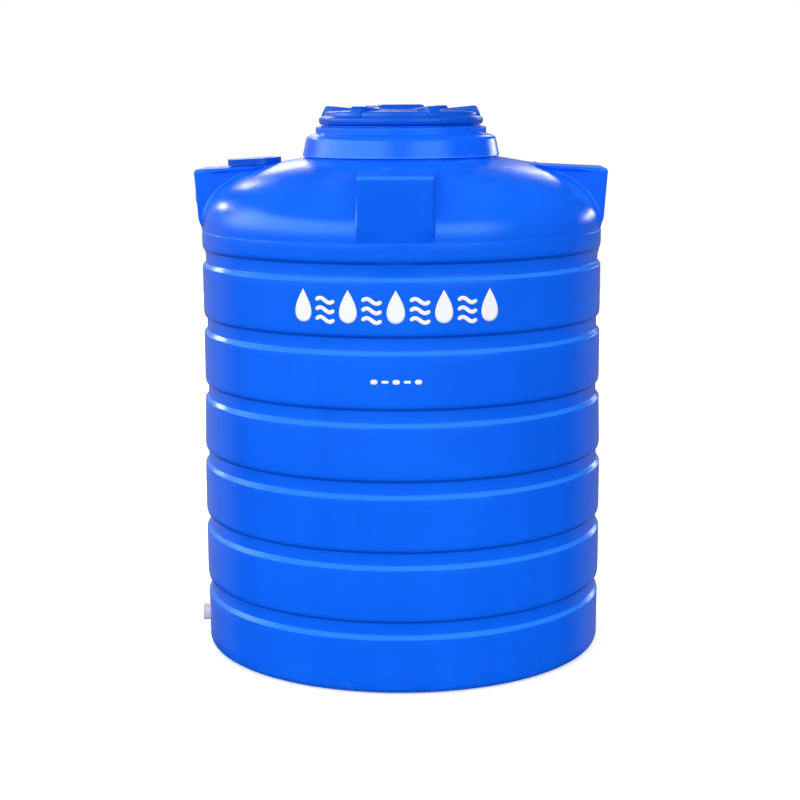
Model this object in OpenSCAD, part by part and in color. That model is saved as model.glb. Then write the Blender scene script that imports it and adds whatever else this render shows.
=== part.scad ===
// Vertical moulded water tank, 1100 L, for watering stock.
// A ribbed barrel with a domed top, four raised lugs and a screw manhole lid, a small access cap on one
// lug, a ball float valve behind the inlet and a threaded outlet just above the floor.
// Millimetres, +Z up, the origin is the centre of the base, the plain front lug faces -Y and the fitted
// lug faces -X.

/* [Body] */
// Outside diameter of the ribbed barrel
tank_d = 1100; // [1060:10:1140]
// Thickness of the moulded wall
wall_t = 5; // [4.5:0.5:7]
// Depth of the grooves between the bands
groove_d = 9; // [6:0.5:11]
// Height of the dome above the rim, taken to the axis
dome_h = 207; // [200:1:212]

/* [Lugs] */
// Width of each raised lug
lug_w = 190; // [180:2:200]
// Skin thickness of the lugs
lug_t = 5; // [4.5:0.5:6]

/* [Manhole] */
// Radius of the manhole opening
mouth_r = 200; // [196:1:201]
// Number of grip wedges on the lid
wedge_n = 6; // [4:1:8]
// Width of a grip wedge
wedge_w = 34; // [26:1:40]

/* [Access cap] */
// Outside diameter of the cap on the fitted lug
cap_d = 147; // [144:1:156]

/* [Float valve] */
// Distance from the lever pivot to the middle of the float
arm_len = 285; // [260:5:300]
// Diameter of the float
float_d = 110; // [90:2:116]

/* [Outlet] */
// Height of the outlet centre above the floor
outlet_z = 56; // [52:1:70]

/* [Hidden] */
R = tank_d / 2;
corner_r = 18;              // bottom corner
pitch = 184;                // band spacing
groove_z0 = 148;            // top edge of the lowest band
groove_h = 44;              // from that edge to the inner corner under the next band
grooves = 6;
rim_z = 1160;
dome_z = rim_z + 3;
dome_n = 2.5;               // superellipse exponent of the dome
lean = 4.25;                // outward lean of the lug faces
top_slope = 2.76;           // fall of the lug tops towards the rim
lug_top = 1326.5;           // height of the lug top at its outer edge
lug_reach = R + (lug_top - rim_z - 5) * tan(lean);
neck_z = 1359.5;            // lower edge of the neck cone
spout_z = 1460;             // top of the threaded spout
spout_r = 206;
cap_x = -404;               // centre of the access cap
pivot_s = 58;               // lever pivot, measured along the inlet axis from the lug face
pivot_z = -20;
tip_l = 14;                 // lever tip to pivot
hang = -50;                 // arm angle when the tank is empty
swing = 45;                 // travel of the arm up to the closed valve
tip_a = 90 - hang - swing / 2;              // angle between the arm and the lever tip
open_s = pivot_s + tip_l * cos(hang + tip_a); // lever tip along the valve, float hanging
blue = [0.02, 0.20, 0.80];
black = [0.10, 0.10, 0.11];
white = [0.90, 0.90, 0.88];
brass = [0.78, 0.62, 0.30];

// height of a lug's top surface, and reach of its outer face
function top_z(x) = lug_top + (lug_reach - x) * tan(top_slope);
function face_x(z) = R + (z - rim_z - 5) * tan(lean);

// barrel and dome, with the surface moved inwards by o
function barrel(o) = concat(
    [[0, o]],
    [for (a = [-90:15:0]) [R - corner_r + (corner_r - o) * cos(a), corner_r + (corner_r - o) * sin(a)]],
    [for (k = [0:grooves - 1]) for (p = [[0, -2], [3, 0.5], [groove_d, 8], [groove_d, groove_h],
                                         [3.5, groove_h + 6], [0, groove_h + 13]])
        [R - o - p[0], groove_z0 + k * pitch + p[1]]],
    [[R - o, rim_z - 2], [R - 1.5 - o, rim_z + 1]],
    [for (t = [0:3:66]) [(R - 3 - o) * pow(cos(t), 2 / dome_n), dome_z + (dome_h - o) * pow(sin(t), 2 / dome_n)]]);

module tank_outer() {
    rotate_extrude($fn = 180) polygon(concat(barrel(0), [
        [263.5, neck_z - 3], [263.5, neck_z - 1.5], [270.5, neck_z], [260.5, neck_z + 47],
        [259.4, neck_z + 50.5], [256, neck_z + 54], [250, neck_z + 56.5], [237, neck_z + 59.5],
        [234, neck_z + 61.5], [234, neck_z + 75.5], [232.5, neck_z + 78.5], [222, neck_z + 80.2],
        [218.5, neck_z + 81.6], [218.5, neck_z + 83], [spout_r, neck_z + 83.4],
        [spout_r, spout_z - 12], [spout_r + 1.6, spout_z - 10.4], [spout_r + 1.6, spout_z - 8.4],
        [spout_r, spout_z - 6.8], [spout_r, spout_z - 1.5],
        [spout_r - 1.5, spout_z], [0, spout_z]]));
}

module tank_inner() {
    rotate_extrude($fn = 180) polygon(concat(barrel(wall_t), [
        [259.5 - wall_t / 5, neck_z - 7.5], [258.3, neck_z + 1.5], [264, neck_z + 6], [255.6, neck_z + 45.5],
        [253, neck_z + 50], [230, neck_z + 54.5], [229, neck_z + 71], [mouth_r + 1, neck_z + 76],
        [mouth_r, neck_z + 79], [mouth_r, spout_z + 1],
        [0, spout_z + 1]]));
}

// plan of a lug, ending at x = 0 with rounded corners
module lug_plan(w, r) {
    translate([-340, -w / 2]) square([340 - r, w]);
    translate([-r - 1, -w / 2 + r]) square([r + 1, w - 2 * r]);
    for (s = [-1, 1]) translate([-r, s * (w / 2 - r)]) circle(r = r, $fn = 48);
}

module lug_outer() {
    intersection() {
        rotate([90, 0, 0]) linear_extrude(lug_w, center = true) polygon(concat(
            [[230, rim_z], [face_x(rim_z), rim_z]],
            [for (a = [-lean:11:90]) [lug_reach - 9 + 9 * cos(a), top_z(lug_reach) - 9 + 9 * sin(a)]],
            [[230, top_z(230)]]));
        translate([face_x(rim_z - 20), 0, rim_z - 20]) rotate([0, lean, 0])
            linear_extrude(220) lug_plan(lug_w, 10);
    }
}

module lug_inner() {
    rotate([90, 0, 0]) linear_extrude(lug_w - 2 * lug_t, center = true) polygon([
        [230, rim_z + 8], [face_x(rim_z + 8) - lug_t / cos(lean), rim_z + 8],
        [face_x(lug_top - lug_t - 6) - lug_t / cos(lean), lug_top - lug_t - 6],
        [lug_reach - lug_t - 6, top_z(lug_reach) - lug_t], [230, top_z(230) - lug_t]]);
}

// frames: inlet axis (x runs inwards from the lug face), access cap, outlet axis
module at_inlet() {
    translate([-face_x(1250), 0, 1250]) rotate([0, -lean, 0]) children();
}
module at_cap() {
    translate([cap_x, 0, top_z(-cap_x)]) rotate([0, -top_slope, 0]) children();
}
module at_outlet() {
    translate([-(R - 1), 0, outlet_z]) children();
}
// a disc or tube along the local x axis
module bar(r, s0, s1, n = 64) {
    translate([s0, 0, 0]) rotate([0, 90, 0]) cylinder(r = r, h = s1 - s0, $fn = n);
}
module tube(ro, ri, s0, s1, n = 64) {
    difference() {
        bar(ro, s0, s1, n);
        bar(ri, s0 - 1, s1 + 1, n);
    }
}
module hex_nut(af, ri, s0, s1) {
    difference() {
        bar(af / 2 / cos(30), s0, s1, 6);
        bar(ri, s0 - 1, s1 + 1);
    }
}

module tank_shell() {
    color(blue) difference() {
        union() {
            difference() {
                union() {
                    tank_outer();
                    for (a = [0:90:270]) rotate([0, 0, a]) lug_outer();
                    // the top groove runs out in a ramp under the middle of each lug
                    for (a = [0:90:270]) rotate([0, 0, a - 5.2]) rotate_extrude(angle = 10.4, $fn = 180)
                        polygon([[R - groove_d - 3, groove_z0 + 5 * pitch + 9],
                                 [R - groove_d, groove_z0 + 5 * pitch + 9],
                                 [R, groove_z0 + 5 * pitch + groove_h + 12],
                                 [R - groove_d - 3, groove_z0 + 5 * pitch + groove_h + 12]]);
                }
                tank_inner();
                for (a = [0:90:270]) rotate([0, 0, a]) lug_inner();
            }
            // spigot and flat seat of the access cap
            at_cap() translate([0, 0, -5]) cylinder(r = cap_d / 2 - 7.5, h = 18, $fn = 96);
            at_cap() translate([0, 0, -6]) cylinder(r = cap_d / 2 + 5, h = 6, $fn = 96);
        }
        at_cap() translate([0, 0, -30]) cylinder(r = cap_d / 2 - 13.5, h = 60, $fn = 96);
        at_cap() difference() {
            cylinder(r = cap_d / 2 + 2, h = 25, $fn = 96);
            translate([0, 0, -1]) cylinder(r = cap_d / 2 - 7.5, h = 27, $fn = 96);
        }
        at_inlet() bar(12.5, -10, 20);
        at_outlet() {
            bar(17, -20, 20);
            bar(27, -20, 0);
            bar(31, wall_t - 1, 20);
        }
    }
}

module lid() {
    color(blue) union() {
        rotate_extrude($fn = 180) polygon([
            [0, 1498], [60, 1498], [64.5, 1496.6], [66.5, 1493.5], [67.5, 1491], [72, 1488.7], [80, 1487.6],
            [198, 1480.2], [205, 1479.6], [208.6, 1478], [210.4, 1474.5], [211, 1469.6], [214, 1467.7],
            [219, 1466.2], [222.8, 1463.2], [224.9, 1458.4], [225, 1452], [223.6, 1448], [221, 1445.4],
            [218, 1444.4], [209.2, 1444.4], [209.2, 1465.1], [197, 1465.1], [196, 1473.2], [188, 1474.2],
            [80, 1481.2], [62, 1485], [58, 1491.5], [0, 1491.5]]);
        for (i = [0:wedge_n - 1]) rotate([0, 0, -123.5 + i * 360 / wedge_n]) rotate([90, 0, 0])
            linear_extrude(wedge_w, center = true) polygon([
                [112, 1482.5], [112, 1486], [196, 1494.2], [202, 1494.5], [206, 1493], [209, 1489.6],
                [217.5, 1470.5], [218, 1466.2], [214, 1465], [206, 1476.4]]);
    }
}

module lid_gasket() {
    color(black) difference() {
        translate([0, 0, spout_z + 0.3]) cylinder(r = spout_r, h = 4.5, $fn = 180);
        translate([0, 0, spout_z - 1]) cylinder(r = mouth_r + 0.4, h = 8, $fn = 180);
    }
}

module access_cap() {
    color(blue) at_cap() rotate_extrude($fn = 120) polygon([
        [0, 16.3], [cap_d / 2 - 6.5, 16.3], [cap_d / 2 - 6.5, 2.5], [cap_d / 2 - 1, 2.5], [cap_d / 2, 3.5],
        [cap_d / 2, 17.5], [cap_d / 2 - 0.8, 19.3], [cap_d / 2 - 2.6, 20.2], [0, 20.8]]);
}

module access_gasket() {
    color(black) at_cap() difference() {
        translate([0, 0, 13.3]) cylinder(r = cap_d / 2 - 7.8, h = 2.7, $fn = 96);
        translate([0, 0, 12]) cylinder(r = cap_d / 2 - 13, h = 6, $fn = 96);
    }
}

module inlet_body() {
    color(white) at_inlet() difference() {
        union() {
            bar(15.5, -14, -2);
            bar(12, -3, 20);
        }
        bar(9.3, -15, 5);
        bar(7, 0, 10);
        bar(9.3, 7, 21);
    }
}
module inlet_gasket_out() {
    color(black) at_inlet() tube(15.2, 12.1, -2, 0);
}
module inlet_gasket_in() {
    color(black) at_inlet() tube(19, 12.1, lug_t, lug_t + 2);
}
module inlet_nut() {
    color(white) at_inlet() hex_nut(36, 12.05, lug_t + 2, lug_t + 10);
}

module valve_body() {
    color(brass) at_inlet() difference() {
        union() {
            bar(9.25, 7.2, 21);
            bar(14.5, 20.3, 26, 6);
            bar(13, 25, 76);
            for (s = [-1, 1]) translate([pivot_s, s * 7.5 + 2, 0]) rotate([90, 0, 0]) linear_extrude(4) {
                translate([-8, pivot_z]) square([16, 14]);
                translate([0, pivot_z]) circle(r = 8, $fn = 48);
            }
        }
        bar(6.05, 6, 40);
        bar(8, 38, 80);
        translate([pivot_s - 10, -5, -16]) cube([20, 10, 14]);
        translate([43, 0, -20]) cylinder(r = 4, h = 20, $fn = 32);
        translate([pivot_s, 12, pivot_z]) rotate([90, 0, 0]) cylinder(r = 2.05, h = 24, $fn = 48);
    }
}
module valve_seat() {
    color(white) at_inlet() tube(6, 2.5, 29, 37.9, 48);
}
module valve_plunger() {
    color(white) at_inlet() difference() {
        bar(7.92, open_s - 11.34, open_s + 9);
        translate([open_s - 3.4, -9, -9]) cube([6.8, 18, 6.8]);
    }
}
module valve_seal() {
    color(black) at_inlet() bar(6.6, open_s - 14.34, open_s - 11.34, 48);
}
module pivot_pin() {
    color(brass) at_inlet() translate([pivot_s, 0, pivot_z]) difference() {
        union() {
            translate([0, 14, 0]) rotate([90, 0, 0]) cylinder(r = 2, h = 25, $fn = 48);
            translate([0, -9.8, 0]) rotate([90, 0, 0]) cylinder(r = 3.6, h = 2, $fn = 48);
        }
        translate([0, 11.6, -4]) cylinder(r = 0.85, h = 8, $fn = 24);
    }
}
module pin_clip() {
    color(brass) at_inlet() translate([pivot_s, 11.6, pivot_z]) {
        translate([0, 0, -5.5]) cylinder(r = 0.8, h = 9, $fn = 24);
        translate([0, 0, 4.6]) rotate([90, 0, 0]) rotate_extrude($fn = 32) translate([1.6, 0]) circle(r = 0.7, $fn = 20);
    }
}

// everything on the arm is drawn along local x from the pivot
module at_arm() {
    at_inlet() translate([pivot_s, 0, pivot_z]) rotate([0, -hang, 0]) children();
}
module float_lever() {
    color(brass) at_arm() difference() {
        union() {
            rotate([90, 0, 0]) cylinder(r = 6.2, h = 9, center = true, $fn = 48);
            translate([0, -4.3, -3.5]) cube([16, 8.6, 7]);
            bar(5.2, 14, 40, 48);
            rotate([0, -tip_a, 0]) {
                translate([0, -4, -2.4]) cube([tip_l, 8, 4.8]);
                translate([tip_l, 0, 0]) rotate([90, 0, 0]) cylinder(r = 3, h = 8.8, center = true, $fn = 40);
            }
        }
        rotate([90, 0, 0]) cylinder(r = 2.05, h = 12, center = true, $fn = 48);
        bar(3.05, 20, 45, 40);
    }
}
module float_rod() {
    color(brass) at_arm() bar(3, 20.5, arm_len - float_d / 2 + 8, 40);
}
module rod_nut() {
    color(brass) at_arm() {
        hex_nut(11, 3.05, 40.3, 45.3);
        hex_nut(11, 3.05, arm_len - float_d / 2 - 10.3, arm_len - float_d / 2 - 5.3);
    }
}
module float_ball() {
    // two half shells welded at a small bead, with a blind boss for the rod
    fr = float_d / 2;
    color(blue) at_arm() translate([arm_len, 0, 0]) rotate([0, 90, 0]) difference() {
        rotate_extrude($fn = 96) difference() {
            union() {
                polygon([for (a = [-90:6:90]) [fr * cos(a), fr * sin(a)]]);
                translate([0, -1.5]) square([fr + 1.2, 3]);
                translate([0, -fr - 5]) square([8, 12]);
            }
            polygon(concat([for (a = [-80:5:90]) [(fr - 2) * cos(a), (fr - 2) * sin(a)]], [[0, 14 - fr],
                           [8, 14 - fr]]));
        }
        translate([0, 0, -fr - 6]) cylinder(r = 3.05, h = 16, $fn = 40);
    }
}

module outlet_body() {
    color(white) at_outlet() difference() {
        union() {
            bar(22.5, -26, -2.5);
            bar(23.4, -26, -21.5);
            bar(16.6, -3, 25);
        }
        bar(15.1, -27, -8);
        bar(13.2, -9, 26);
    }
}
module outlet_gasket_out() {
    color(black) at_outlet() tube(22.5, 16.7, -2.5, 0);
}
module outlet_gasket_in() {
    color(black) at_outlet() tube(26, 16.7, wall_t - 1, wall_t + 1.5);
}
module outlet_nut() {
    color(white) at_outlet() hex_nut(48, 16.65, wall_t + 1.5, wall_t + 11.5);
}
// slotted cup pushed over the inner end of the outlet
module outlet_strainer() {
    color(white) at_outlet() difference() {
        bar(20, 20, 62);
        bar(16.65, 19, 59.5);
        for (a = [0:45:315]) rotate([a, 0, 0]) translate([29, -1.5, 12]) cube([26, 3, 12]);
    }
}

tank_shell();
lid();
lid_gasket();
access_cap();
access_gasket();
inlet_body();
inlet_gasket_out();
inlet_gasket_in();
inlet_nut();
valve_body();
valve_seat();
valve_plunger();
valve_seal();
pivot_pin();
pin_clip();
float_lever();
float_rod();
rod_nut();
float_ball();
outlet_body();
outlet_gasket_out();
outlet_gasket_in();
outlet_nut();
outlet_strainer();
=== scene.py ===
import math

import bpy
import numpy as np
from mathutils import Matrix, Vector


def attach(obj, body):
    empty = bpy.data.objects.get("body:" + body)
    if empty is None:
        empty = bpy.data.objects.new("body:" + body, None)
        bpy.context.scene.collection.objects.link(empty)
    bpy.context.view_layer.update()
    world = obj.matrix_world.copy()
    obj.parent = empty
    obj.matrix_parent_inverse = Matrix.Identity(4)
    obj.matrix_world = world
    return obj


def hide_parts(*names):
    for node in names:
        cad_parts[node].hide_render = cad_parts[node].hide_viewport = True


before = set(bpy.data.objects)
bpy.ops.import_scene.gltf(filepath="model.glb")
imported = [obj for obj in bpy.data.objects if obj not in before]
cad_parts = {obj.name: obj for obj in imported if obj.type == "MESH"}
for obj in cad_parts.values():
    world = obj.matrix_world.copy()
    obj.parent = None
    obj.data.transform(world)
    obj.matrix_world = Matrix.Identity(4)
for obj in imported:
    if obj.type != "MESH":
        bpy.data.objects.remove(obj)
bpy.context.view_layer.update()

# ---------------------------------------------------------------- tank shell
# One hollow skin of blue polyethylene 5 mm thick, moulded in a turning oven: seven bands
# parted by six grooves, a domed top with four raised lugs, a neck and the spout that the
# lid screws on. Its lengths are in millimetres, from the floor and the tank's axis.

MM = 0.001
WALL = 5.0
BARREL_R = 550.0
GROOVE_Z = 148.0
GROOVE_PITCH = 184.0
GROOVES = 6
GROOVE_DEPTH = 9.0
GROOVE_CORNERS = [(0, -2.5, 4), (-GROOVE_DEPTH, 8.5, 3), (-GROOVE_DEPTH, 40.5, 1.2), (-1.8, 46.5, 2.5),
                  (0, 57, 8)]       # (out of the wall, up from the groove's foot, fillet)
RIM_Z = 1160.0
RIM_STEP = 5.0
DOME_Z = 1163.0
DOME_R = 547.0
DOME_RISE = 207.0
DOME_POWER = 2.5
LUG_HALF = 95.0
LUG_FLAT = 85.0
LUG_FOOT = 102.0
LUG_LEAN = math.radians(4.25)
LUG_SLOPE = math.radians(2.76)
LUG_TOP_Z = 1326.5
LUG_REACH = BARREL_R + (LUG_TOP_Z - RIM_Z - RIM_STEP) * math.tan(LUG_LEAN)
LUG_EDGE = 9.0
LUG_CORNER = 8.0
LUG_FILLET = 7.0
LUG_BLEND = 10.0
FULL_RISE = 150.0
MERGE_X = 352.0
NECK_R = 263.5
INNER_NECK_R = 262.5
CAP_X = 404.0
CAP_SEAT = 77.0
BELLY = 4.5
BELLY_TOP_Z = 790.0
CRISP = math.radians(38)


def smooth(value):
    """0 to 1 in an even S, for values from 0 to 1."""
    value = np.clip(value, 0.0, 1.0)
    return value * value * (3.0 - 2.0 * value)


def rounded(corners, longest):
    """Points along (r, z, fillet) corners. A third value of each point says whether
    an inner skin may follow it."""
    points = [(corners[0][0], corners[0][1], True)]
    for before, here, after in zip(corners, corners[1:], corners[2:]):
        middle = np.array(here[:2], float)
        back = np.array(before[:2], float) - middle
        ahead = np.array(after[:2], float) - middle
        reach = min(np.linalg.norm(back), np.linalg.norm(ahead)) * 0.48
        back /= np.linalg.norm(back)
        ahead /= np.linalg.norm(ahead)
        half = math.acos(max(-1.0, min(1.0, float(back @ ahead)))) / 2
        turn = math.pi - 2 * half
        if here[2] <= 0 or turn < 0.02:
            points.append((here[0], here[1], True))
            continue
        cut = min(here[2] / math.tan(half), reach)
        radius = cut * math.tan(half)
        centre = middle + (back + ahead) / np.linalg.norm(back + ahead) * radius / math.sin(half)
        first, last = middle + back * cut - centre, middle + ahead * cut - centre
        steps = max(2, math.ceil(math.degrees(turn) / 14))
        bulges = -back[0] * ahead[1] + back[1] * ahead[0] > 0
        for i in range(steps + 1):
            t = i / steps
            arm = (math.sin((1 - t) * turn) * first + math.sin(t * turn) * last) / math.sin(turn)
            r, z = centre + arm
            points.append((r, z, not bulges or radius > WALL + 2 or i == steps // 2))
    points.append((corners[-1][0], corners[-1][1], True))
    filled = [points[0]]
    for a, b in zip(points, points[1:]):
        span = math.hypot(b[0] - a[0], b[1] - a[1])
        if span < 0.02:
            continue
        parts = max(1, math.ceil(span / longest))
        for i in range(1, parts + 1):
            t = i / parts
            filled.append((a[0] + (b[0] - a[0]) * t, a[1] + (b[1] - a[1]) * t,
                           b[2] if i == parts else True))
    return filled


def dome_z(r):
    """Height of the dome at a distance from the axis."""
    fall = (np.minimum(r, DOME_R) / DOME_R) ** DOME_POWER
    return DOME_Z + DOME_RISE * np.clip(1 - fall, 0, 1) ** (1 / DOME_POWER)


def dome_r(z):
    """Distance of the dome from the axis at a height."""
    return DOME_R * (1 - np.clip((z - DOME_Z) / DOME_RISE, 0, 1) ** DOME_POWER) ** (1 / DOME_POWER)


def dome_lean(r, z):
    """Outward direction of the dome's skin, as (along r, up)."""
    out = (max(r, 1.0) / DOME_R) ** (DOME_POWER - 1) / DOME_R
    up = (max(z - DOME_Z, 0.0) / DOME_RISE) ** (DOME_POWER - 1) / DOME_RISE
    return np.array((out, up)) / math.hypot(out, up)


def face_x(z):
    """How far out a lug's outer face is at a height."""
    return BARREL_R + (z - RIM_Z - RIM_STEP) * math.tan(LUG_LEAN)


def lug_plane(x):
    """Height of a lug's sloping top at a distance out from the axis."""
    return LUG_TOP_Z + (LUG_REACH - x) * math.tan(LUG_SLOPE)


def higher(a, b):
    """The higher of two heights, with a soft crease between them."""
    near = np.clip(LUG_BLEND - np.abs(a - b), 0, None)
    return np.maximum(a, b) + near * near / (4 * LUG_BLEND)


def rim_crease(z):
    """Depth of the line where the lugs' faces meet the rim."""
    return 1.2 * math.exp(-((z - RIM_Z - 2) / 3.5) ** 2)


# The columns of one quarter of the skin, from its -45 degree line to its +45 degree
# line: across the lug's flat, round its corner, down its side wall, round the fillet
# at the foot and on over the dome.
FLAT_Y = [0, 12, 24, 36, 48, 60, 71, 79, LUG_FLAT]
half_quarter = [("flat", y, y, 0.0) for y in FLAT_Y]
side_columns = [("corner", math.radians(a)) for a in (18, 36, 54, 72, 90)]
side_columns += [("wall", t) for t in (0.15, 0.35, 0.55, 0.75, 0.9)]
side_columns += [("foot", math.radians(a)) for a in (0, 15, 30, 45, 60, 75, 90)]
for i, (kind, amount) in enumerate(side_columns, 1):
    share = i / len(side_columns)
    half_quarter.append((kind, amount, LUG_FLAT + (LUG_FOOT - LUG_FLAT) * share, share))
DOME_COLUMNS = 16
half_quarter += [("dome", i / DOME_COLUMNS, LUG_FOOT, 1.0) for i in range(1, DOME_COLUMNS + 1)]
around = 4 * (2 * len(half_quarter) - 2)


def half_row(ring_r, ring_z, raise_by, lug):
    """One row of half a quarter, as (outward, sideways, up). The ring is the plain skin, and
    raise_by(y) lifts it near the middle of a lug. A lug is its section, its outward
    direction and how far it stands up."""
    squeeze = min(1.0, ring_r / 300.0)

    def ring(y):
        lift = raise_by(y)
        return np.array((math.sqrt(max((ring_r + lift) ** 2 - y * y, 0.0)), ring_z))

    if lug:
        top, lug_out, rise = lug
        corner = min(LUG_CORNER, 0.4 * rise)
        fillet = min(LUG_FILLET, 0.4 * rise)
        firm = float(smooth(rise / 14.0))
        dome_out = dome_lean(ring_r, ring_z)
        wall_top = top(LUG_HALF) - corner * lug_out
        wall_foot = ring(LUG_HALF) + fillet * dome_out
        edge = top(LUG_FLAT) - ring(LUG_FLAT)
    row = []
    for kind, amount, y, share in half_quarter:
        if kind == "dome":
            start = math.asin(min(LUG_FOOT * squeeze / ring_r, 0.7)) if ring_r > 1 else 0.0
            angle = start + (math.pi / 4 - start) * amount
            row.append((ring_r * math.cos(angle), ring_r * math.sin(angle), ring_z))
            continue
        if not lug:
            x, z = ring(y * squeeze)
            row.append((x, y * squeeze, z))
            continue
        if kind == "flat":
            x, z = top(y)
            row.append((x, y, z))
            continue
        x, z = ring(y) + edge * (1 - smooth(share))
        soft = np.array((x, y, z))
        if kind == "corner":
            side = LUG_HALF - corner + corner * math.sin(amount)
            x, z = top(side) - corner * (1 - math.cos(amount)) * lug_out
        elif kind == "wall":
            side = LUG_HALF
            x, z = wall_top + (wall_foot - wall_top) * amount
        else:
            side = LUG_HALF + fillet * (1 - math.cos(amount))
            x, z = ring(side) + fillet * (1 - math.sin(amount)) * dome_out
        row.append(tuple(soft * (1 - firm) + np.array((x, side, z)) * firm))
    return row


def no_lift(y):
    return 0.0


shell_rows = []     # (row of points of half a quarter, whether the inner skin follows it)

# Underside, bands and grooves. Under each lug the top groove runs out in a ramp,
# and the small step of the rim is filled.
barrel = [(0, 0, 0), (BARREL_R, 0, 18)]
for k in range(GROOVES):
    barrel += [(BARREL_R + out, GROOVE_Z + GROOVE_PITCH * k + up, fillet) for out, up, fillet in GROOVE_CORNERS]
barrel += [(BARREL_R, RIM_Z, 2.2), (DOME_R, RIM_Z + 1.5, 1.5), (DOME_R, DOME_Z, 0)]
last_groove = GROOVE_Z + GROOVE_PITCH * (GROOVES - 1)
for r, z, firm in rounded(barrel, 26.0)[:-1]:
    def raise_by(y, r=r, z=z):
        if last_groove + 9 < z < last_groove + 60:
            ramp = BARREL_R - GROOVE_DEPTH * (1 - smooth((z - last_groove - 12) / 48.0))
            return max(0.0, ramp - r) * (1 - float(smooth((y - 30) / 35.0)))
        if z > RIM_Z - 6:
            return max(0.0, BARREL_R - rim_crease(z) - r) * (1 - float(smooth((y - 80) / 22.0)))
        return 0.0
    shell_rows.append((half_row(r, z, raise_by, None), firm and not RIM_Z - 4 < z < RIM_Z + 8))

# Dome and lugs. Each row of a lug is paired with a ring of the dome.
face_out = np.array((math.cos(LUG_LEAN), -math.sin(LUG_LEAN)))
top_out = np.array((math.sin(LUG_SLOPE), math.cos(LUG_SLOPE)))
edge_centre = np.array((LUG_REACH, LUG_TOP_Z)) + np.linalg.solve(
    np.array((face_out, top_out)), np.array((-LUG_EDGE, -LUG_EDGE)))
face_end = edge_centre + LUG_EDGE * face_out
top_start = edge_centre + LUG_EDGE * top_out
FACE_ROWS, EDGE_ROWS, TOP_ROWS, MERGE_ROWS = 16, 8, 24, 20
for i in range(FACE_ROWS + 1):
    z = DOME_Z + (face_end[1] - DOME_Z) * (i / FACE_ROWS) ** 1.25
    r = float(dome_r(z))
    flatness = float(smooth((z - DOME_Z) / 35.0))

    def top(y, z=z, flatness=flatness):
        bow = BARREL_R - math.sqrt(BARREL_R ** 2 - y * y)
        return np.array((face_x(z) - (1 - flatness) * bow - rim_crease(z), z))
    rise = top(LUG_HALF)[0] - math.sqrt(r * r - LUG_HALF ** 2)
    shell_rows.append((half_row(r, z, no_lift, (top, face_out, rise)), z > RIM_Z + 8))
top_ring = 415.0        # the ring of the dome under the start of the lug's top
face_ring = float(dome_r(face_end[1]))
for i in range(1, EDGE_ROWS):
    t = i / EDGE_ROWS
    swing = -LUG_LEAN + t * (math.pi / 2 - LUG_SLOPE + LUG_LEAN)
    out = np.array((math.cos(swing), math.sin(swing)))
    r = face_ring + (top_ring - face_ring) * t

    def top(y, out=out):
        return edge_centre + LUG_EDGE * out
    shell_rows.append((half_row(r, float(dome_z(r)), no_lift, (top, out, FULL_RISE)), i % 2 == 0))
side_start = math.sqrt(top_ring ** 2 - LUG_HALF ** 2)
for i in range(TOP_ROWS + 1):
    x_line = top_start[0] + (MERGE_X - top_start[0]) * (i / TOP_ROWS) ** 0.85
    side_x = MERGE_X + (side_start - MERGE_X) * (x_line - MERGE_X) / (top_start[0] - MERGE_X)
    r = math.hypot(side_x, LUG_HALF)
    flatness = float(smooth((x_line - MERGE_X) / 60.0))

    def top(y, x_line=x_line, r=r, flatness=flatness):
        x = flatness * x_line + (1 - flatness) * math.sqrt(r * r - y * y)
        return np.array((x, float(higher(lug_plane(x), dome_z(math.hypot(x, y))))))
    x, z = top(LUG_HALF)
    rise = max(0.0, lug_plane(x) - float(dome_z(math.hypot(x, LUG_HALF))))
    shell_rows.append((half_row(r, float(dome_z(r)), no_lift, (top, top_out, min(rise, FULL_RISE))), True))
merge_ring = math.hypot(MERGE_X, LUG_HALF)
for i in range(1, MERGE_ROWS + 1):
    r = merge_ring + (NECK_R - merge_ring) * i / MERGE_ROWS

    def top(y, r=r):
        x = math.sqrt(r * r - y * y)
        return np.array((x, float(higher(lug_plane(x), dome_z(r)))))
    joined = (top, top_out, 0.0) if r > 305 else None
    shell_rows.append((half_row(r, float(dome_z(r)), no_lift, joined), True))
dome_rows = len(shell_rows)

# Neck and spout, outside from the dome up and inside back down.
neck = [(NECK_R, float(dome_z(NECK_R)), 0), (NECK_R, 1358, 0.6), (270.5, 1359.6, 1.6), (260.6, 1406.5, 8),
        (258.2, 1411.5, 4), (250, 1416, 7), (237, 1419, 4), (234, 1421.5, 2), (234, 1435.5, 2),
        (232, 1438.2, 1.5), (222, 1439.7, 5), (218.5, 1441.2, 1), (218.3, 1442.7, 0.5), (206, 1443.2, 2),
        (206, 1460, 1.4), (203, 1460, 0)]
for r, z, _ in rounded(neck, 9.0)[1:]:
    shell_rows.append((half_row(r, z, no_lift, None), False))
inner_neck = [(203, 1460, 0), (200, 1460, 1.4), (200, 1437.5, 4), (213, 1436, 3), (228.5, 1433.5, 5),
              (228.5, 1417.5, 5), (245, 1411.5, 8), (254, 1404, 9), (INNER_NECK_R, 1364, 6), (258, 1352, 3),
              (262, 1350, 0)]


def whole_row(half):
    """A full turn of one row, from the row of half a quarter."""
    side = np.array(half, float)
    mirrored = side[1:-1][::-1] * np.array((1, -1, 1))
    quarter = np.concatenate((mirrored, side))
    x, y, z = quarter.T
    return np.concatenate([np.stack((x * c - y * s, x * s + y * c, z), 1)
                           for c, s in ((1, 0), (0, 1), (-1, 0), (0, -1))])


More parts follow.
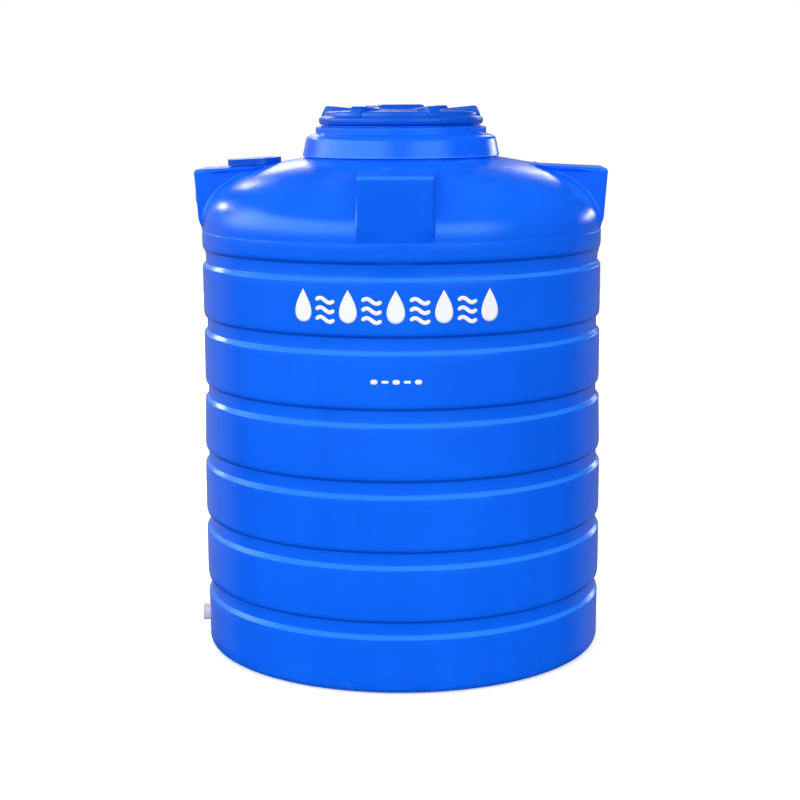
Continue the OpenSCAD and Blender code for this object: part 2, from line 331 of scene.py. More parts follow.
def settle(points):
    """The flat seat of the access cap, the slight belly of the lower bands and the
    slight unevenness of a moulded wall."""
    x, y, z = points.T
    away = np.hypot(x + CAP_X, y)
    seat = (1 - smooth((away - CAP_SEAT) / 5.0)) * (z > 1300)
    z = z + (lug_plane(-x) - z) * seat
    turn = np.arctan2(y, x)
    wave = 0.5 + 0.25 * np.sin(3 * turn + z / 210) + 0.15 * np.sin(7 * turn - z / 90)
    wave += 0.1 * np.sin(13 * turn + z / 47)
    dent = 0.35 * np.clip(wave, 0, 1) * smooth(z / 60.0) * smooth((1300 - z) / 60.0)
    belly = BELLY * smooth((BELLY_TOP_Z - z) / 330.0) * smooth(z / 25.0)
    belly *= 0.45 + 0.55 * smooth((z - 60) / 200.0)
    reach = np.hypot(x, y)
    shrink = 1 + (belly - dent) / np.maximum(reach, 1.0) * (reach > 500)
    return np.stack((x * shrink, y * shrink, z), 1)


def skin_faces(rows, steps):
    """Quads between rows of points that each go once round."""
    i, j = np.meshgrid(np.arange(rows - 1), np.arange(steps), indexing="ij")
    a = i * steps + j
    b = i * steps + (j + 1) % steps
    return np.stack((a, b, b + steps, a + steps), -1).reshape(-1, 4).tolist()


def end_fans(count, rows, steps):
    """Triangles that close the first and last of some rows with the last two points."""
    last = (rows - 1) * steps
    return [face for j in range(steps) for face in ((count - 2, (j + 1) % steps, j),
                                                    (count - 1, last + j, last + (j + 1) % steps))]


def piece_of(name, points, faces):
    """A mesh object from points in millimetres, smooth except at sharp edges."""
    mesh = bpy.data.meshes.new(name)
    mesh.from_pydata((np.asarray(points, float) * MM).tolist(), [], faces)
    mesh.validate()
    mesh.update()
    mesh.shade_smooth()
    mesh.set_sharp_from_angle(angle=CRISP)
    made = bpy.data.objects.new(name, mesh)
    bpy.context.scene.collection.objects.link(made)
    return made


outer = [settle(whole_row(half)) for half, _ in shell_rows[1:]]
followed = [settle(whole_row(half)) for half, keep in shell_rows[1:dome_rows] if keep]
guide = piece_of("shell_guide", np.concatenate(followed), skin_faces(len(followed), around))
normals = np.zeros(len(guide.data.vertices) * 3, np.float32)
guide.data.vertex_normals.foreach_get("vector", normals)
inside = np.concatenate(followed) - WALL * normals.reshape(-1, 3)
bpy.data.objects.remove(guide)
inside = list(inside.reshape(len(followed), around, 3))
for row in inside[:2]:
    row[:, 2] = WALL
while np.hypot(*inside[-1][0][:2]) < INNER_NECK_R:
    inside.pop()
for r, z, _ in rounded(inner_neck, 9.0)[::-1][1:-1]:
    inside.append(whole_row(half_row(r, z, no_lift, None)))
rows = outer + inside[::-1]
points = np.concatenate((*rows, [(0, 0, 0), (0, 0, WALL)]))
shell = piece_of("tank_skin", points, skin_faces(len(rows), around) + end_fans(len(points), len(rows), around))


def turned_mesh(profile, steps, ends_on_axis=False):
    """Points and faces of a profile of (r, z) turned about Z. The profile is a closed
    loop, or starts and ends on the axis."""
    ring = np.linspace(0, 2 * math.pi, steps, endpoint=False)
    body = profile[1:-1] if ends_on_axis else profile
    points = np.concatenate([np.stack((r * np.cos(ring), r * np.sin(ring), np.full(steps, z)), 1)
                             for r, z in body])
    faces = skin_faces(len(body), steps)
    if ends_on_axis:
        points = np.concatenate((points, [(0, 0, profile[0][1]), (0, 0, profile[-1][1])]))
        return points, faces + end_fans(len(points), len(body), steps)
    last = (len(body) - 1) * steps
    faces += [(last + j, last + (j + 1) % steps, (j + 1) % steps, j) for j in range(steps)]
    return points, faces


def placed(points, place):
    """Points in millimetres moved by a matrix in millimetres."""
    turn = np.array(place.to_3x3())
    return np.asarray(points, float) @ turn.T + np.array(place.translation)


# The holes for the access cap, the inlet and the outlet are drilled after moulding, and
# the wall is spot-faced flat on both sides of the outlet.
INLET_Z = 1250.0
OUTLET_Z = 56.0
OUTLET_FACE_R = 549.0
CAP_HOLE_R, INLET_HOLE_R, OUTLET_HOLE_R = 60.0, 12.5, 17.0
OUTLET_SPOT_R, OUTLET_INNER_SPOT_R = 27.0, 31.0
HOLE_STEPS = 96
inlet_place = (Matrix.Translation((-face_x(INLET_Z), 0, INLET_Z)) @ Matrix.Rotation(-LUG_LEAN, 4, "Y")
               @ Matrix.Rotation(math.pi / 2, 4, "Y"))
outlet_place = Matrix.Translation((-OUTLET_FACE_R, 0, OUTLET_Z)) @ Matrix.Rotation(math.pi / 2, 4, "Y")
cap_place = Matrix.Translation((-CAP_X, 0, lug_plane(CAP_X))) @ Matrix.Rotation(-LUG_SLOPE, 4, "Y")
drill_points, drill_faces = [], []
for place, profile in (
        (cap_place, [(0, -30), (CAP_HOLE_R, -30), (CAP_HOLE_R, 30), (0, 30)]),
        (inlet_place, [(0, -10), (INLET_HOLE_R, -10), (INLET_HOLE_R, 20), (0, 20)]),
        (outlet_place, [(0, -20), (OUTLET_SPOT_R, -20), (OUTLET_SPOT_R, 0), (OUTLET_HOLE_R, 0),
                        (OUTLET_HOLE_R, WALL - 1), (OUTLET_INNER_SPOT_R, WALL - 1), (OUTLET_INNER_SPOT_R, 20),
                        (0, 20)])):
    points, faces = turned_mesh(profile, HOLE_STEPS, ends_on_axis=True)
    start = sum(map(len, drill_points))
    drill_faces += [tuple(start + corner for corner in face) for face in faces]
    drill_points.append(placed(points, place))
drill = piece_of("drill", np.concatenate(drill_points), drill_faces)
cut = shell.modifiers.new("holes", "BOOLEAN")
cut.operation = "DIFFERENCE"
cut.solver = "MANIFOLD"
cut.object = drill
drilled = bpy.data.meshes.new_from_object(shell.evaluated_get(bpy.context.evaluated_depsgraph_get()))
shell.modifiers.clear()
shell.data = drilled
drilled.shade_smooth()
drilled.set_sharp_from_angle(angle=CRISP)
bpy.data.objects.remove(drill)


class Wire:
    """One output of a shader node. Sums on it add Math nodes."""

    def __init__(self, tree, out=None):
        self.tree = tree
        self.out = out

    def add(self, kind, settings=None, values=None, take=0):
        """Any node: its type, its settings, the values or links of its sockets, and the
        output to go on with."""
        node = self.tree.nodes.new(kind)
        for name, value in (settings or {}).items():
            setattr(node, name, value)
        for name, value in (values or {}).items():
            if isinstance(value, Wire):
                self.tree.links.new(value.out, node.inputs[name])
            else:
                node.inputs[name].default_value = value
        return Wire(self.tree, node.outputs[take] if len(node.outputs) else None)

    def sum(self, operation, *values):
        return self.add("ShaderNodeMath", {"operation": operation}, dict(enumerate(values)))

    def __add__(self, other):
        return self.sum("ADD", self, other)

    __radd__ = __add__

    def __sub__(self, other):
        return self.sum("SUBTRACT", self, other)

    def __rsub__(self, other):
        return self.sum("SUBTRACT", other, self)

    def __mul__(self, other):
        return self.sum("MULTIPLY", self, other)

    __rmul__ = __mul__

    def rise(self, low, high):
        """0 below low, 1 above high, smooth between; falls where low is the greater."""
        return self.add("ShaderNodeMapRange", {"interpolation_type": "SMOOTHSTEP"},
                        {0: self, 1: low, 2: high})

    def between(self, first, second):
        """A colour between two, by this value."""
        return self.add("ShaderNodeMix", {"data_type": "RGBA"}, {0: self, 6: first, 7: second}, take=2)

    def scaled(self, factors):
        return self.add("ShaderNodeVectorMath", {"operation": "MULTIPLY"}, {0: self, 1: factors})

    def toward(self, way):
        return self.add("ShaderNodeVectorMath", {"operation": "DOT_PRODUCT"}, {0: self, 1: way}, take="Value")

    def axis(self, number):
        return self.add("ShaderNodeSeparateXYZ", None, {0: self}, take=number)

    def grain(self, scale, detail=3.0, rough=0.55):
        """Smooth noise over this position, 0 to 1."""
        return self.add("ShaderNodeTexNoise", None, {"Vector": self, "Scale": scale, "Detail": detail,
                                                     "Roughness": rough})


def new_finish(name):
    """An empty material and the place on its piece."""
    made = bpy.data.materials.new(name)
    made.use_nodes = True
    made.node_tree.nodes.clear()
    place = Wire(made.node_tree).add("ShaderNodeTexCoord", take="Object")
    return made, place


def finish_with(place, colour, roughness, height, depth, values=None):
    """The surface shader of a finish, its bump depth in metres."""
    bump = place.add("ShaderNodeBump", None, {"Strength": 1.0, "Distance": depth, "Height": height})
    inputs = {"Base Color": colour, "Roughness": roughness, "Normal": bump}
    inputs.update(values or {})
    surface = place.add("ShaderNodeBsdfPrincipled", None, inputs)
    place.add("ShaderNodeOutputMaterial", None, {"Surface": surface})


# Painted highlight: a paler blue painted on the groove edges, the neck's foot and the lugs' upper edge in place
# of the light they catch.
PAINTED_HIGHLIGHT_BLUE = (0.02, 0.25, 1.0, 1)
# Painted shade: a dark blue painted into the upper corner of each groove, under the band above, where shade
# falls.
PAINTED_GROOVE_SHADE = (0.0, 0.045, 0.42, 1)
BLUE_GLINT = (0.42, 0.88, 1.0, 1)       # the pigment near the surface tints the gloss


def moulded_blue(name, deep, clear, chalk, gloss, painted_light=0.0):
    """Rotomoulded blue: cloudy pigment, fine orange peel, dust on upward faces and rubbed spots.
    painted_light is the strength of painted highlights, a paler blue on the lower edge of each groove,
    the foot of the neck and the lugs' upper edge; it also turns on painted shade in each groove's upper corner."""
    made, place = new_finish(name)
    height = place.axis(2)
    cloud = place.grain(2.3, 4.0)
    streak = place.scaled((9.0, 9.0, 0.9)).grain(1.0, 3.0)
    scratch = place.scaled((60.0, 60.0, 7.0)).grain(1.0, 6.0, 0.75).rise(0.66, 0.74)
    rub = place.grain(5.5, 5.0, 0.6).rise(0.62, 0.8) * scratch
    low = height.rise(0.10, 0.0) * place.grain(30.0, 5.0, 0.7).rise(0.5, 0.75)
    up = place.add("ShaderNodeNewGeometry", take="Normal").axis(2).rise(0.75, 1.0)
    dust = up * place.grain(14.0, 4.0).rise(0.42, 0.72)
    body = (0.55 * cloud + 0.45 * streak).rise(0.3, 0.7).between(deep, clear)
    body = (0.4 * rub + 0.12 * low + 0.10 * dust).between(body, chalk)
    if painted_light:
        across, aside = place.axis(0), place.axis(1)
        banded = height.rise(1.14, 1.13)
        along = height.sum("MODULO", height - (GROOVE_Z - 10) * MM, GROOVE_PITCH * MM)
        # Painted highlights: paler blue painted on the lower edge of each groove, the foot of the neck and the
        # lugs' upper edge.
        edge = along.rise(0.0072, 0.0098) * along.rise(0.0195, 0.0165) * banded
        foot = height.rise(1.3585, 1.3597) * height.rise(1.3645, 1.3625)
        lip = (across * across + aside * aside).rise(0.295, 0.305)
        lip = lip * height.rise(1.3185, 1.3215) * height.rise(1.3290, 1.3260)
        painted_highlight = painted_light * (edge + foot + 0.7 * lip) * (0.65 + 0.5 * cloud)
        # Painted shade: dark blue painted into the upper corner of each groove, under the band above.
        under = along.rise(0.0485, 0.0525) * along.rise(0.0625, 0.0570) * banded
        body = (0.62 * under).between(painted_highlight.between(body, PAINTED_HIGHLIGHT_BLUE), PAINTED_GROOVE_SHADE)
    roughness = gloss + 0.07 * cloud + 0.05 * place.grain(40.0) + 0.18 * rub + 0.2 * low + 0.1 * dust
    peel = place.grain(190.0, 2.0) + 0.5 * place.grain(520.0, 2.0) + 4.0 * place.grain(9.0, 1.0) - 0.6 * rub
    finish_with(place, body, roughness, peel, 0.00016,
                {"Specular IOR Level": 0.5, "Specular Tint": BLUE_GLINT})
    return made


# tank_blue carries painted highlights on the groove and lug edges and painted shade in the grooves.
tank_blue = moulded_blue("tank_blue", deep=(0.0, 0.112, 0.88, 1), clear=(0.0, 0.134, 0.98, 1),
                         chalk=(0.10, 0.24, 0.93, 1), gloss=0.15, painted_light=0.85)


def dress(piece, finish, body, slot_name, *nodes):
    """Gives a piece its material, its body and the CAD nodes it stands for. slot_name is not used."""
    piece.data.materials.clear()
    piece.data.materials.append(finish)
    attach(piece, body)
    if nodes:
        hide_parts(*nodes)


dress(shell, tank_blue, "tank", "blue_tank", "tank_shell")

# ------------------------------------------------- access spigot and threads
# A short threaded pipe welded round the hand hole in the left lug, and the
# single-start thread moulded on the neck's spout. Same polyethylene as the shell.


def turned(name, corners, place, steps=128, longest=20.0, ends_on_axis=False):
    """A turned solid from filleted (r, z, fillet) corners, set in place."""
    if ends_on_axis:
        profile = [(r, z) for r, z, _ in rounded(corners, longest)]
    else:
        (r0, z0, _), (r1, z1, _) = corners[0], corners[-1]
        start = ((r0 + r1) / 2, (z0 + z1) / 2, 0)
        profile = [(r, z) for r, z, _ in rounded([start, *corners, start], longest)][:-1]
    points, faces = turned_mesh(profile, steps, ends_on_axis)
    return piece_of(name, placed(points, place), faces)


def ridge(name, radius, proud, width, pitch, turns, z_start, place, steps=120):
    """A screw thread: a ridge that climbs round a cylinder and fades at both ends."""
    half = [(-0.4, 0.62), (proud * 0.75, 0.34), (proud, 0.2)]
    section = [(out, -width * up) for out, up in half] + [(out, width * up) for out, up in half[::-1]]
    count = int(steps * turns)
    points = []
    for i in range(count + 1):
        angle = 2 * math.pi * turns * i / count
        fade = float(smooth(min(i, count - i) / (steps * 0.08)))
        for out, up in section:
            reach = radius + (out * fade if out > 0 else out - 0.3 * (1 - fade))
            points.append((reach * math.cos(angle), reach * math.sin(angle),
                           z_start + pitch * turns * i / count + up * (0.3 + 0.7 * fade)))
    n = len(section)
    faces = [(a, d, c, b) for a, b, c, d in skin_faces(count + 1, n)]
    faces.append(list(range(n)))
    faces.append([count * n + j for j in reversed(range(n))])
    return piece_of(name, placed(points, place), faces)


upright = Matrix.Identity(4)
SPIGOT_R = 66.0
SPOUT_R = 206.0
spigot = turned("access_spigot", [(CAP_HOLE_R, -7, 1), (SPIGOT_R - 3, -7, 1), (SPIGOT_R, -4.5, 1.5),
                                  (SPIGOT_R, 13, 1.2), (CAP_HOLE_R, 13, 1.2)], cap_place)
dress(spigot, tank_blue, "tank", "blue_tank")
spigot_thread = ridge("access_spigot_thread", SPIGOT_R, proud=0.8, width=2.4, pitch=4.5, turns=1.6, z_start=3.2,
                      place=cap_place)
dress(spigot_thread, tank_blue, "tank", "blue_tank")
spout_thread = ridge("spout_thread", SPOUT_R, proud=1.5, width=3.4, pitch=6.0, turns=1.35, z_start=1447.6,
                     place=upright, steps=220)
dress(spout_thread, tank_blue, "tank", "blue_tank")

# ------------------------------------------------------------- manhole lid
# A screw lid of the same blue plastic: a skirt with a rolled rim, a shallow dished top
# with a raised centre, and six wedge grips that a bar or a hand can push on.

LID_CORNERS = [     # over the top, round the rolled rim and back under: (r, z, fillet)
    (0, 1498, 0), (60.5, 1498, 5), (66.3, 1490.8, 3), (74, 1488.0, 4), (199, 1480.2, 4), (208.6, 1479.4, 5),
    (210.8, 1468.4, 3), (217, 1467.2, 4), (225, 1461.5, 5), (225, 1451.5, 4), (222.6, 1446.2, 4),
    (218.2, 1444.4, 1.5), (209.2, 1444.4, 0.8), (209.2, 1465.1, 0.8), (197, 1465.1, 0.8), (196, 1473.4, 1.5),
    (188, 1474.2, 3), (80, 1481.2, 6), (62, 1485, 4), (57.5, 1491.5, 2), (0, 1491.5, 0)]
lid_blue = moulded_blue("lid_blue", deep=(0.0, 0.072, 0.56, 1), clear=(0.0, 0.090, 0.68, 1),
                        chalk=(0.10, 0.21, 0.80, 1), gloss=0.17)
lid = turned("manhole_lid", LID_CORNERS[::-1], upright, 240, 12.0, ends_on_axis=True)
dress(lid, lid_blue, "lid", "blue_lid", "lid")

WEDGE = np.array([(112, 1481.6), (112, 1486.3), (196, 1494.2), (202.5, 1494.4), (206.3, 1492.8), (209, 1489.4),
                  (217.3, 1470.8), (217.3, 1466.0), (206, 1466.0), (198, 1476.5)], float)
WEDGES = 6
WEDGE_WIDTH = 34.0
WEDGE_ROUND = 3.0
ROUND_STEPS = 5


def shrunk(outline, by):
    """An outline moved inwards by a distance, corner by corner."""
    before, after = np.roll(outline, 1, 0), np.roll(outline, -1, 0)
    a = outline - before
    b = after - outline
    a /= np.linalg.norm(a, axis=1)[:, None]
    b /= np.linalg.norm(b, axis=1)[:, None]
    na, nb = np.stack((a[:, 1], -a[:, 0]), 1), np.stack((b[:, 1], -b[:, 0]), 1)
    lean = (na + nb) / (1 + (na * nb).sum(1))[:, None]
    return outline + lean * by


def softened(outline, radius):
    """A closed outline with an arc at each corner."""
    loop = [(x, z, radius) for x, z in outline]
    start = ((outline[0][0] + outline[-1][0]) / 2, (outline[0][1] + outline[-1][1]) / 2, 0)
    return np.array([(x, z) for x, z, _ in rounded([start, *loop, start], 14.0)[:-1]])


wedge_outline = softened(WEDGE[::-1], 2.6)[::-1]
wedge_points = []
for side in (-1, 1):
    for i in range(ROUND_STEPS + 1):
        swing = math.pi / 2 * (i if side < 0 else ROUND_STEPS - i) / ROUND_STEPS
        drop = WEDGE_ROUND * (1 - math.sin(swing))
        along = side * (WEDGE_WIDTH / 2 - WEDGE_ROUND * (1 - math.cos(swing)))
        wedge_points += [(x, along, z) for x, z in shrunk(wedge_outline, min(drop, 2.4))]
n = len(wedge_outline)
wedge_faces = skin_faces(2 * (ROUND_STEPS + 1), n)
wedge_faces.append(list(reversed(range(n))))
wedge_faces.append([len(wedge_points) - n + j for j in range(n)])
for number in range(WEDGES):
    turn = Matrix.Rotation(math.radians(-123.5 + 360 / WEDGES * number), 4, "Z")
    wedge = piece_of(f"lid_wedge_{number + 1}", placed(wedge_points, turn), wedge_faces)
    dress(wedge, lid_blue, "lid", "blue_lid")

# --------------------------------------------------------------- access cap
# A flat screw cap over the hand hole, blue plastic, its skirt fluted for grip and
# a shallow raised disc on top.

FLUTES = 48
FLUTE_STEPS = 6
FLUTE_DEPTH = 0.9
CAP_R, CAP_BORE_R, HUB_R = 73.5, 67.0, 1.0
CAP_TOP_Z, CAP_UNDER_Z, CAP_FOOT_Z = 20.8, 16.3, 2.5
cap_outer = [(CAP_BORE_R, CAP_FOOT_Z, 0.5), (CAP_R, CAP_FOOT_Z, 0.8), (CAP_R, 18.2, 0), (CAP_R, 20.2, 1.8),
             (58, 20.3, 1.0), (54.5, CAP_TOP_Z, 1.0), (0, CAP_TOP_Z, 0)]
cap_inner = [(0, CAP_UNDER_Z, 0), (CAP_BORE_R, CAP_UNDER_Z, 1.0), (CAP_BORE_R, CAP_FOOT_Z, 0)]
over_top = rounded(cap_outer, 8.0)[:-1] + [(HUB_R, CAP_TOP_Z, True)]
cap_loop = over_top + [(HUB_R, CAP_UNDER_Z, True)] + rounded(cap_inner, 12.0)[1:-1]
count = FLUTES * FLUTE_STEPS
ring = np.linspace(0, 2 * math.pi, count, endpoint=False)
cap_rows = []
for r, z, _ in cap_loop:
    depth = FLUTE_DEPTH * float(smooth((z - 3.2) / 2.0) * smooth((18.6 - z) / 2.0)) * (r > CAP_BORE_R + 3)
    reach = r - depth * (0.5 - 0.5 * np.cos(FLUTES * ring)) ** 2
    cap_rows.append(np.stack((reach * np.cos(ring), reach * np.sin(ring), np.full(count, z)), 1))
top_hub = (len(over_top) - 1) * count
under_hub = top_hub + count
last = (len(cap_rows) - 1) * count
faces = [face for face in skin_faces(len(cap_rows), count) if min(face) < top_hub or min(face) >= under_hub]
faces += [(last + j, last + (j + 1) % count, (j + 1) % count, j) for j in range(count)]
faces.append([top_hub + j for j in range(count)])
faces.append([under_hub + j for j in reversed(range(count))])
cap = piece_of("access_cap_fluted", placed(np.concatenate(cap_rows), cap_place), faces)
dress(cap, lid_blue, "cap", "blue_lid", "access_cap")

# ------------------------------------------------------ inlet and outlet stubs
# White polypropylene bulkhead fittings screwed through the wall: a threaded stub
# outside, a nut inside, and a slotted strainer over the outlet.

white, place = new_finish("white_fitting")
yellowing = place.grain(24.0, 4.0).rise(0.35, 0.75)
grime = place.grain(95.0, 5.0, 0.7).rise(0.56, 0.78)
colour = yellowing.between((0.80, 0.80, 0.79, 1), (0.72, 0.71, 0.66, 1))
colour = (0.45 * grime).between(colour, (0.42, 0.40, 0.36, 1))
finish_with(place, colour, 0.42 + 0.12 * yellowing + 0.15 * grime,
            place.grain(700.0) + 0.6 * place.grain(160.0), 0.00005, {"Specular IOR Level": 0.45})


def screw_cut(r, depth, z_start, z_end, pitch):
    """Corners of a bore with a thread cut into its wall."""
    corners = []
    z = z_start
    while z + pitch <= z_end:
        corners += [(r, z, 0.1), (r, z + pitch * 0.3, 0.1), (r + depth, z + pitch * 0.55, 0.1),
                    (r + depth, z + pitch * 0.75, 0.1)]
        z += pitch
    return corners + [(r, z_end, 0.1)]


inlet_bore = screw_cut(9.3, 0.8, -12.2, 4.2, pitch=1.8)
inlet_corners = [(15.5, -14, 0.8), (10.3, -14, 0.2), *inlet_bore, (7, 6, 0.3), (7, 20, 0.5), (12, 20, 0.8),
                 (12, -2, 0.4), (15.5, -2, 0.5)]
inlet = turned("inlet_stub", inlet_corners[::-1], inlet_place, HOLE_STEPS)
dress(inlet, white, "tank", "white_plastic", "inlet_body")
outlet_bore = screw_cut(15.1, 1.0, -24.2, -9, pitch=2.3)
outlet_corners = [(23.4, -26, 1.0), (16.3, -26, 0.3), *outlet_bore, (13.2, -7, 0.4), (13.2, 25, 0.5),
                  (16.6, 25, 0.8), (16.6, -2.5, 0.4), (22.5, -2.5, 0.6), (22.5, -21, 0.5), (23.4, -21.8, 0.4)]
outlet = turned("outlet_stub", outlet_corners[::-1], outlet_place, HOLE_STEPS)
dress(outlet, white, "tank", "white_plastic", "outlet_body")


def refinish(node, finish, bevel):
    """A CAD node whose shape is right: its edges are broken and it gets its finish."""
    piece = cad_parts[node]
    piece.data.materials.clear()
    piece.data.materials.append(finish)
    weld = piece.modifiers.new("weld", "WELD")
    weld.merge_threshold = 1e-6
    if bevel:
        edge = piece.modifiers.new("broken_edges", "BEVEL")
        edge.width = bevel * MM
        edge.segments = 2
        edge.limit_method = "ANGLE"
        edge.angle_limit = math.radians(32)
        edge.use_clamp_overlap = True
    piece.modifiers.new("even_shading", "WEIGHTED_NORMAL").keep_sharp = True


for node in ("inlet_nut", "outlet_nut", "outlet_strainer"):
    refinish(node, white, 0.5)

# ----------------------------------------------------------- rubber washers
# Flat black rubber rings, punched from sheet: dusty, matt, slightly grained.

rubber, place = new_finish("black_rubber")
bloom = place.grain(60.0, 5.0, 0.65).rise(0.4, 0.75)
finish_with(place, bloom.between((0.018, 0.018, 0.019, 1), (0.06, 0.06, 0.063, 1)), 0.62 + 0.2 * bloom,
            place.grain(900.0) + 0.5 * place.grain(260.0), 0.00008, {"Specular IOR Level": 0.35})
for node in ("lid_gasket", "access_gasket", "inlet_gasket_out", "inlet_gasket_in", "outlet_gasket_out",
             "outlet_gasket_in", "valve_seal"):
    refinish(node, rubber, 0.25)

# -------------------------------------------------------------- float valve
# A cast and turned brass valve behind the inlet: a lever on a pin shuts it through a
# nylon plunger as the blown blue ball rises on its rod.

brass, place = new_finish("cast_brass")
tarnish = (0.6 * place.grain(45.0, 5.0, 0.65) + 0.4 * place.grain(210.0, 3.0)).rise(0.42, 0.66)
lime = place.grain(80.0, 5.0, 0.7).rise(0.66, 0.76)
colour = tarnish.between((0.80, 0.56, 0.23, 1), (0.46, 0.29, 0.12, 1))
colour = (0.6 * lime).between(colour, (0.62, 0.66, 0.60, 1))
finish_with(place, colour, 0.26 + 0.22 * tarnish + 0.3 * lime,
            place.grain(600.0) + 0.8 * place.grain(170.0) + lime, 0.00007, {"Metallic": 1.0 - 0.8 * lime})
for node in ("valve_body", "float_lever", "float_rod", "rod_nut", "pivot_pin"):
    refinish(node, brass, 0.35)
refinish("pin_clip", brass, 0)

nylon, place = new_finish("turned_nylon")
stain = place.grain(120.0, 4.0).rise(0.4, 0.7)
finish_with(place, stain.between((0.82, 0.79, 0.68, 1), (0.70, 0.65, 0.50, 1)), 0.36 + 0.15 * stain,
            place.scaled((1.0, 1.0, 6.0)).grain(420.0), 0.00004)
for node in ("valve_seat", "valve_plunger"):
    refinish(node, nylon, 0.3)

ball_blue, place = new_finish("blown_float")
silt = (place.axis(2) - 0.01 * place.grain(80.0)).rise(1.035, 1.005)
silt = silt * place.grain(40.0, 5.0, 0.6).rise(0.3, 0.65)
tone = place.grain(22.0, 3.0).between((0.012, 0.13, 0.52, 1), (0.02, 0.17, 0.62, 1))
finish_with(place, (0.4 * silt).between(tone, (0.30, 0.33, 0.34, 1)), 0.3 + 0.25 * silt,
            place.grain(260.0) + 0.5 * silt, 0.0001)
refinish("float_ball", ball_blue, 0)

# ------------------------------------------------------------- printed mark
# A plain white print on the second band and a short row of bars on the third: water
# drops and waves in thick one-pack ink, standing a hair off the wall.

ink, place = new_finish("white_ink")
patchy = place.grain(70.0, 5.0, 0.65).rise(0.35, 0.8)
pinholes = place.grain(900.0, 2.0).rise(0.7, 0.78)
finish_with(place, (0.5 * patchy + 0.4 * pinholes).between((0.90, 0.92, 0.95, 1), (0.78, 0.83, 0.92, 1)),
            0.45 + 0.12 * patchy, place.grain(500.0) - 0.5 * pinholes, 0.00005, {"Specular IOR Level": 0.35})
PRINT_Z = 1001.0
PRINT_PROUD = 0.3
PRINT_THICK = 0.75
DROPS = 5
DROP_TALL = 84.0
DROP_PITCH = 121.0
DROP_STEPS, DROP_RINGS = 64, 7
DROP_HEART = 0.04       # the innermost ring, which one face closes
BAR_PITCH = 28.0
WAVE_STEPS = 80
print_points, print_faces = [], []


def print_grid(grid, closed):
    """Adds rows of (round the wall, up) points as one patch of ink."""
    start, wide = len(print_points), len(grid[0])
    for row in grid:
        for along, up in row:
            turn = along / BARREL_R
            reach = BARREL_R + PRINT_PROUD
            print_points.append((reach * math.sin(turn), -reach * math.cos(turn), up))
    for i in range(len(grid) - 1):
        for j in range(wide if closed else wide - 1):
            a, b = start + i * wide + j, start + i * wide + (j + 1) % wide
            print_faces.append((a, b, b + wide, a + wide))
    if closed:
        print_faces.append(tuple(start + (len(grid) - 1) * wide + j for j in range(wide)))


def print_drop(along, up, tall):
    """A water drop, in rings from its outline to its heart."""
    outline = []
    for i in reversed(range(DROP_STEPS)):
        a = 2 * math.pi * i / DROP_STEPS
        wide = math.sin(a) * (0.5 - 0.5 * math.cos(a)) ** 0.62
        outline.append((0.37 * tall * wide, 0.5 * tall * math.cos(a)))
    sizes = [1 - (1 - DROP_HEART) * i / DROP_RINGS for i in range(DROP_RINGS + 1)]
    print_grid([[(along + x * size, up + z * size) for x, z in outline] for size in sizes], True)


def print_wave(along, up, length, high, thick):
    """One stroke with round ends that rises and falls once; a bar where high is 0."""
    rows = []
    for i in range(WAVE_STEPS + 1):
        t = i / WAVE_STEPS
        u = along + (t - 0.5) * length
        v = up + high * math.sin(2 * math.pi * t)
        slope = high * 2 * math.pi / length * math.cos(2 * math.pi * t)
        n = 1 / math.hypot(1, slope)
        end = min(t, 1 - t) * length
        half = thick / 2 * math.sqrt(max(0.0, 1 - max(0.0, 1 - end / (thick / 2)) ** 2)) + 0.05
        rows.append([(u - slope * n * w * half, v + n * w * half) for w in (-1, -0.34, 0.34, 1)])
    print_grid(list(zip(*rows)), False)


for i in range(DROPS):
    print_drop(DROP_PITCH * (i - 2), PRINT_Z + 4, DROP_TALL)
for i in range(DROPS - 1):
    for j in (-1, 0, 1):
        print_wave(DROP_PITCH * (i - 1.5), PRINT_Z - 6 + 24 * j, length=50, high=6, thick=10)
for i in range(5):
    print_wave(BAR_PITCH * (i - 2), PRINT_Z - GROOVE_PITCH - 1, length=18, high=0, thick=7 if i % 2 else 12)
print_mark = piece_of("printed_drops", print_points, print_faces)
thick = print_mark.modifiers.new("ink_body", "SOLIDIFY")
thick.thickness = PRINT_THICK * MM
thick.offset = -1
dress(print_mark, ink, "tank", "blue_tank")

# ------------------------------------------------------------ floor and light
# A plain pale floor and a soft bright room. The sky lights the plastic evenly, brighter
# from the front left, and gloss shows soft panels of light on a dark surround.

FLOOR_RINGS = [400.0, 560.0, 800.0, 1400.0, 3000.0, 9000.0]
FLOOR_Z = -0.6
FLOOR_STEPS = 96
floor_points, floor_faces = [(0, 0, FLOOR_Z)], []
for r in FLOOR_RINGS:
    floor_points += [(r * math.cos(2 * math.pi * j / FLOOR_STEPS), r * math.sin(2 * math.pi * j / FLOOR_STEPS),
                      FLOOR_Z) for j in range(FLOOR_STEPS)]
for j in range(FLOOR_STEPS):
    floor_faces.append((0, 1 + j, 1 + (j + 1) % FLOOR_STEPS))
    for i in range(len(FLOOR_RINGS) - 1):
        a, b = 1 + i * FLOOR_STEPS + j, 1 + i * FLOOR_STEPS + (j + 1) % FLOOR_STEPS
        floor_faces.append((a, a + FLOOR_STEPS, b + FLOOR_STEPS, b))
floor = piece_of("studio_floor", floor_points, floor_faces)
pale, place = new_finish("pale_floor")
tone = place.grain(1.4, 3.0).between((0.90, 0.90, 0.90, 1), (0.93, 0.93, 0.93, 1))
finish_with(place, tone, 0.85, place.grain(60.0), 0.0002,
            {"Specular IOR Level": 0.1, "Emission Color": (1, 1, 1, 1), "Emission Strength": 0.36})
floor.data.materials.append(pale)
floor.visible_glossy = False
floor.visible_diffuse = False

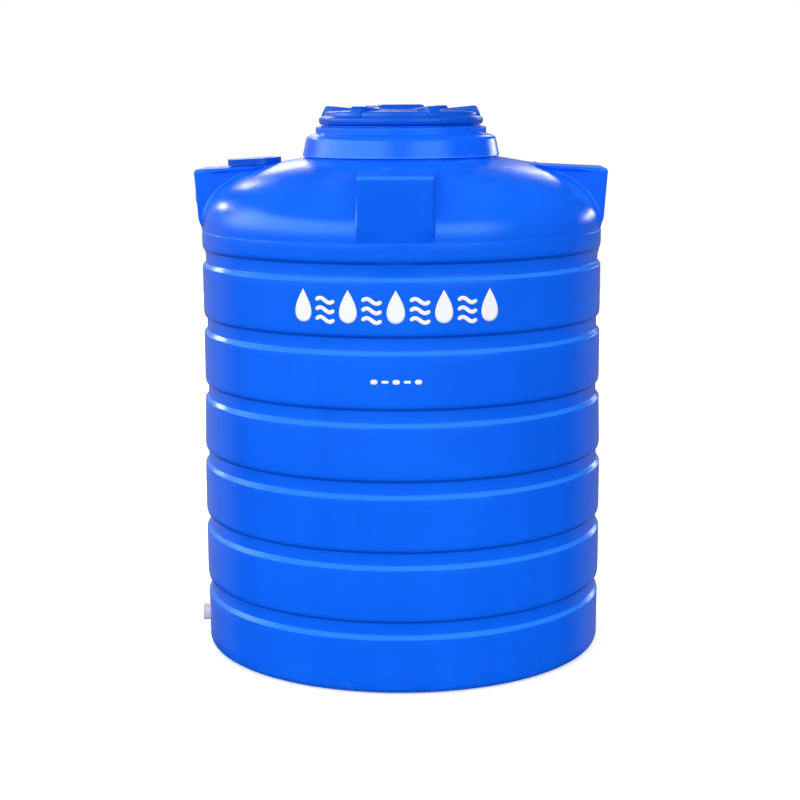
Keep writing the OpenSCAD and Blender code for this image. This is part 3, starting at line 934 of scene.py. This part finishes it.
sky = bpy.data.worlds.new("soft_room")
bpy.context.scene.world = sky
sky.use_nodes = True
sky.node_tree.nodes.clear()
sky.cycles.sampling_method = "NONE"
direction = Wire(sky.node_tree).add("ShaderNodeTexCoord", take="Generated")
around_x, around_y, up = direction.axis(0), direction.axis(1), direction.axis(2)
DEGREES = 180 / math.pi
height = up.sum("ARCSINE", up) * DEGREES
bearing = around_x.sum("ARCTAN2", around_x, 0 - around_y) * DEGREES


def card(left, right, low, high, soft, strength):
    """A soft-edged patch of light between two bearings and two heights, in degrees.
    Bearing 0 is the front of the tank and positive is to its right."""
    across = bearing.rise(left - soft, left + soft) * bearing.rise(right + soft, right - soft)
    climb = height.rise(low - soft / 2, low + soft / 2) * height.rise(high + soft / 2, high - soft / 2)
    return across * climb * strength


# Three broad panels in front, small bright ones behind on the left and on the right, and
# faint ones behind and low.
CARDS = [
    (-115, -15, 5, 30, 14, 4.2), (15, 58, 4, 26, 12, 3.8), (-15, 15, 7, 22, 10, 1.2),
    (-140, -133, 15, 20, 2, 18.0), (-160, -154, 23, 27, 2, 12.0), (-176, -166, 13, 18, 4, 7.0),
    (165, 172, 15, 21, 4, 6.0), (133, 155, 3, 7, 3, 6.0),
    (-196, -150, 1, 13, 5, 0.3), (160, 196, 1, 13, 5, 0.3), (-178, -112, -18, 16, 8, 0.28),
    (120, 172, -22, -3, 6, 0.2)]
DARK_ROOM = 0.02
gloss_light = DARK_ROOM
for panel in CARDS:
    gloss_light = gloss_light + card(*panel)
key = Vector((-0.35, -0.9, 0.25)).normalized()
wash = 1.10 + 0.56 * direction.toward(key[:])
diffuse_light = wash.sum("MAXIMUM", wash, 0.1) * (0.34 + 0.66 * up.rise(-0.35, 0.10))
seen = direction.add("ShaderNodeLightPath", take="Is Camera Ray")
glossy = direction.add("ShaderNodeLightPath", take="Is Glossy Ray")
level = seen + (1 - seen) * (glossy * gloss_light + (1 - glossy) * diffuse_light)
backdrop = direction.add("ShaderNodeBackground", None, {"Color": (1, 1, 1, 1), "Strength": level})
direction.add("ShaderNodeOutputWorld", None, {"Surface": backdrop})

# ------------------------------------------------------------------- camera
# Chest height, almost square on to the plain front lug, with a short telephoto lens.

eye = Vector((0.1326, -4.868, 1.523))
swing = math.atan2(eye.x, -eye.y) + math.radians(0.075)
pitch = math.radians(90 - 9.87)
roll = math.radians(-0.3)
lens = bpy.data.cameras.new("front_camera")
lens.lens = 78.84
lens.sensor_width = 36.0
lens.clip_start = 0.05
lens.clip_end = 60.0
camera = bpy.data.objects.new("front_camera", lens)
bpy.context.scene.collection.objects.link(camera)
camera.matrix_world = (Matrix.Translation(eye) @ Matrix.Rotation(swing, 4, "Z")
                       @ Matrix.Rotation(pitch, 4, "X") @ Matrix.Rotation(roll, 4, "Z"))
bpy.context.scene.camera = camera
bpy.context.scene.view_settings.view_transform = "Standard"
